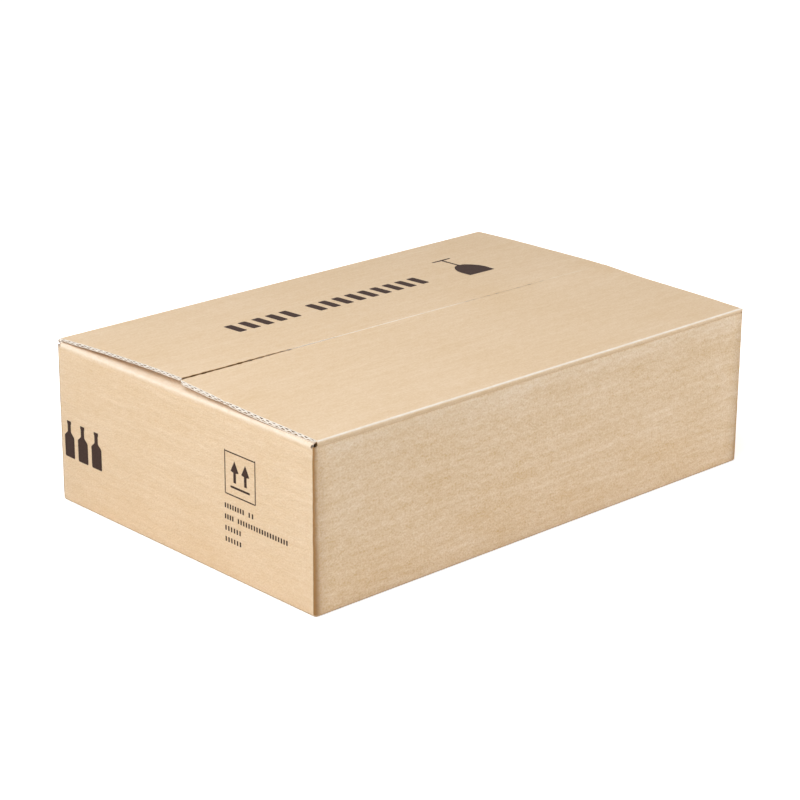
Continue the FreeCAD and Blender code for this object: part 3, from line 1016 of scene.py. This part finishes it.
def print_end_wall(ink):
    """Three bottles, a framed sign of two arrows, and small rows of ticks, where the photograph has print."""
    bottles = [moved(bottle_mark(10.5 * MM, 25 * MM), (5.3 + 14.5 * n) * MM, 0.0) for n in range(3)]
    printed("print_three_bottles", bottles, end_wall_place(120 * MM, 32 * MM), "carton", ink)
    side, line = 28 * MM, 0.8 * MM
    sign = [moved(bar(line, side), edge, 0.0) for edge in (0.0, side)]
    sign += [moved(bar(line, side), side, edge, math.pi / 2) for edge in (0.0, side - line)]
    sign += [moved(arrow_mark(7.5 * MM, 14 * MM), (9 + 10 * n) * MM, 8.5 * MM) for n in range(2)]
    sign.append(moved(bar(1.4 * MM, 18 * MM), 23 * MM, 5.5 * MM, math.pi / 2))
    printed("print_framed_sign", sign, end_wall_place(-43.8 * MM, 55 * MM), "carton", ink)
    rows = []
    for drop, words in ((0.0, (19, 6)), (7.2, (9, 47)), (14.6, (16,)), (21.8, (16,))):
        rows += tick_row([word * MM for word in words], 1.3 * MM, 1.2 * MM, 3.2 * MM, drop * MM)
    printed("print_small_rows", rows, end_wall_place(-42.5 * MM, 45.4 * MM), "carton", ink)


def print_rear_flap(sizes, ink):
    """Two groups of plain upright bars, and a stemmed glass."""
    width, pitch, height = 6.5 * MM, 11.5 * MM, 17 * MM
    row = [moved(bar(width, height), n * pitch, 0.0) for n in range(15) if n != 9]
    printed("print_row_of_bars", row, rear_flap_place(sizes, 63 * MM, 66 * MM), "rear_flap", ink)
    glass = [goblet_mark(25 * MM, 42 * MM)]
    printed("print_goblet", glass, rear_flap_place(sizes, 111 * MM, 85 * MM), "rear_flap", ink)


# The photograph's view: its eye stands in front of the near corner, a little over the box
VIEW = {"azimuth": -43.1126, "elevation": 19.8404, "roll": -0.3638, "distance": 1.63221,
        "aside": 4.864 * MM, "down": 1.9 * MM, "target_height": 54 * MM}
FOCAL_PIXELS = 2473.76
PHOTO_PIXELS = 800
SENSOR = 36.0


def build_camera():
    """A camera at the photograph's viewing angle."""
    turn, tilt, roll = (math.radians(VIEW[key]) for key in ("azimuth", "elevation", "roll"))
    back = Vector((math.sin(turn) * math.cos(tilt), -math.cos(turn) * math.cos(tilt), math.sin(tilt)))
    right = (-back).cross(Vector((0, 0, 1))).normalized()
    down = (-back).cross(right)
    cosine, sine = math.cos(roll), math.sin(roll)
    right, down = cosine * right + sine * down, cosine * down - sine * right
    target = Vector((0.0, 0.0, VIEW["target_height"])) - VIEW["aside"] * right - VIEW["down"] * down
    data = bpy.data.cameras.new("photo_camera")
    data.sensor_width = SENSOR
    data.lens = FOCAL_PIXELS * SENSOR / PHOTO_PIXELS
    data.clip_start, data.clip_end = 0.05, 50.0
    pose = Matrix((right, -down, back)).transposed().to_4x4()
    pose.translation = target + VIEW["distance"] * back
    camera = add_object("photo_camera", data)
    camera.matrix_world = pose
    bpy.context.scene.camera = camera


def area_light(name, place, size, power, target=(0.0, 0.0, 0.05)):
    data = bpy.data.lights.new(name, "AREA")
    data.shape, data.size, data.size_y, data.energy = "RECTANGLE", size[0], size[1], power
    light = add_object(name, data)
    light.location = place
    light.rotation_euler = (Vector(target) - Vector(place)).to_track_quat("-Z", "Y").to_euler()


def white_to_the_eye(tree):
    """1 for a ray that comes straight from the eye or by way of gloss or glass."""
    path = add_node(tree, "LightPath").outputs
    first = maths(tree, "MAXIMUM", path["Is Camera Ray"], path["Is Glossy Ray"])
    return maths(tree, "MAXIMUM", first, path["Is Transmission Ray"])


def build_stage(look):
    """Pale floor, white backdrop and plain soft lights."""
    mesh = bmesh.new()
    bmesh.ops.create_circle(mesh, cap_ends=True, cap_tris=False, segments=96, radius=9.0)
    material, tree = new_material("white_painted_floor")
    diffuse = add_node(tree, "BsdfDiffuse", {"Color": rgba(look.floor), "Roughness": 1.0})
    glow = add_node(tree, "Emission", {"Color": (1, 1, 1, 1)},
                    {"Strength": spread(tree, white_to_the_eye(tree), 0.0, 1.0, 0.0, 0.55)})
    both = add_node(tree, "AddShader", {}, {0: diffuse.outputs[0], 1: glow.outputs[0]})
    add_node(tree, "OutputMaterial", {}, {"Surface": both.outputs[0]})
    floor = finish_piece("studio_floor", mesh, [material])
    world = bpy.data.worlds.new("studio_air")
    bpy.context.scene.world = world
    world.use_nodes = True
    tree = world.node_tree
    tree.nodes.clear()
    strength = spread(tree, white_to_the_eye(tree), 0.0, 1.0, 0.35, 1.0)
    sky = add_node(tree, "Background", {"Color": (1, 1, 1, 1)}, {"Strength": strength})
    add_node(tree, "OutputWorld", {}, {"Surface": sky.outputs[0]})
    area_light("soft_key", (-1.05, 0.12, 0.8), (0.9, 0.9), 3.8 * look.key)
    area_light("soft_low", (-1.5, -0.2, 0.42), (0.8, 0.5), 3.0 * look.key)
    area_light("soft_top", (-0.5, -0.15, 1.2), (0.9, 0.9), 7.0 * look.key)
    area_light("soft_fill", (1.2, -0.9, 0.4), (0.9, 0.6), 8.6 * look.fill)
    bpy.context.scene.view_settings.view_transform = "Standard"


class CARTON_OT_walls(bpy.types.Operator):
    """Build the four walls, the bottom flaps and the glue lap"""

    bl_idname = "shipping_box.walls"
    bl_label = "Walls and bottom"

    def execute(self, context):
        board = context.scene.board_sizes, context.scene.board_colours
        build_walls(*board)
        build_bottom(*board)
        build_glue_lap(*board)
        return {"FINISHED"}


class CARTON_OT_top_flaps(bpy.types.Operator):
    """Build the two outer top flaps with the folds that they turn about"""

    bl_idname = "shipping_box.top_flaps"
    bl_label = "Outer top flaps"

    def execute(self, context):
        for side in (-1, 1):
            build_top_flap(context.scene.board_sizes, context.scene.board_colours, side)
        return {"FINISHED"}


class CARTON_OT_inner_flaps(bpy.types.Operator):
    """Build the two inner top flaps with the end walls' top folds"""

    bl_idname = "shipping_box.inner_flaps"
    bl_label = "Inner top flaps"

    def execute(self, context):
        for end in (-1, 1):
            build_inner_flap(context.scene.board_sizes, context.scene.board_colours, end)
        return {"FINISHED"}


class CARTON_OT_insert(bpy.types.Operator):
    """Finish the dividers and cradles"""

    bl_idname = "shipping_box.insert"
    bl_label = "Insert"

    def execute(self, context):
        dress_insert(context.scene.board_sizes, context.scene.board_colours)
        return {"FINISHED"}


class CARTON_OT_print(bpy.types.Operator):
    """Print the plain marks on the end wall and the rear flap"""

    bl_idname = "shipping_box.print"
    bl_label = "Print"

    def execute(self, context):
        ink = flexo_ink("brown_water_based_ink", context.scene.board_colours.ink)
        print_end_wall(ink)
        print_rear_flap(context.scene.board_sizes, ink)
        return {"FINISHED"}


class CARTON_OT_stage(bpy.types.Operator):
    """Set up the camera, the floor and the lights"""

    bl_idname = "shipping_box.stage"
    bl_label = "Studio"

    def execute(self, context):
        build_camera()
        build_stage(context.scene.stage_look)
        return {"FINISHED"}


STEPS = (CARTON_OT_stage, CARTON_OT_walls, CARTON_OT_inner_flaps, CARTON_OT_top_flaps, CARTON_OT_insert,
         CARTON_OT_print)
GROUPS = {"board_sizes": BoardSizes, "board_colours": BoardColours, "stage_look": StageLook}


class CARTON_PT_panel(bpy.types.Panel):
    """The box's pieces and sizes"""

    bl_label = "Shipping box"
    bl_idname = "CARTON_PT_panel"
    bl_space_type = "VIEW_3D"
    bl_region_type = "UI"
    bl_category = "Shipping box"

    def draw(self, context):
        for step in STEPS:
            self.layout.operator(step.bl_idname)
        for group_name, group in GROUPS.items():
            column = self.layout.column()
            for key in group.__annotations__:
                column.prop(getattr(context.scene, group_name), key)


def register():
    for cls in (*GROUPS.values(), *STEPS, CARTON_PT_panel):
        bpy.utils.register_class(cls)
    for name, group in GROUPS.items():
        setattr(bpy.types.Scene, name, PointerProperty(type=group))


def unregister():
    for name in GROUPS:
        delattr(bpy.types.Scene, name)
    for cls in (CARTON_PT_panel, *reversed(STEPS), *reversed(GROUPS.values())):
        bpy.utils.unregister_class(cls)


def main():
    register()
    bpy.ops.shipping_box.stage()
    bpy.ops.shipping_box.walls()
    bpy.ops.shipping_box.inner_flaps()
    bpy.ops.shipping_box.top_flaps()
    bpy.ops.shipping_box.insert()
    bpy.ops.shipping_box.print()


if __name__ == "__main__":
    main()
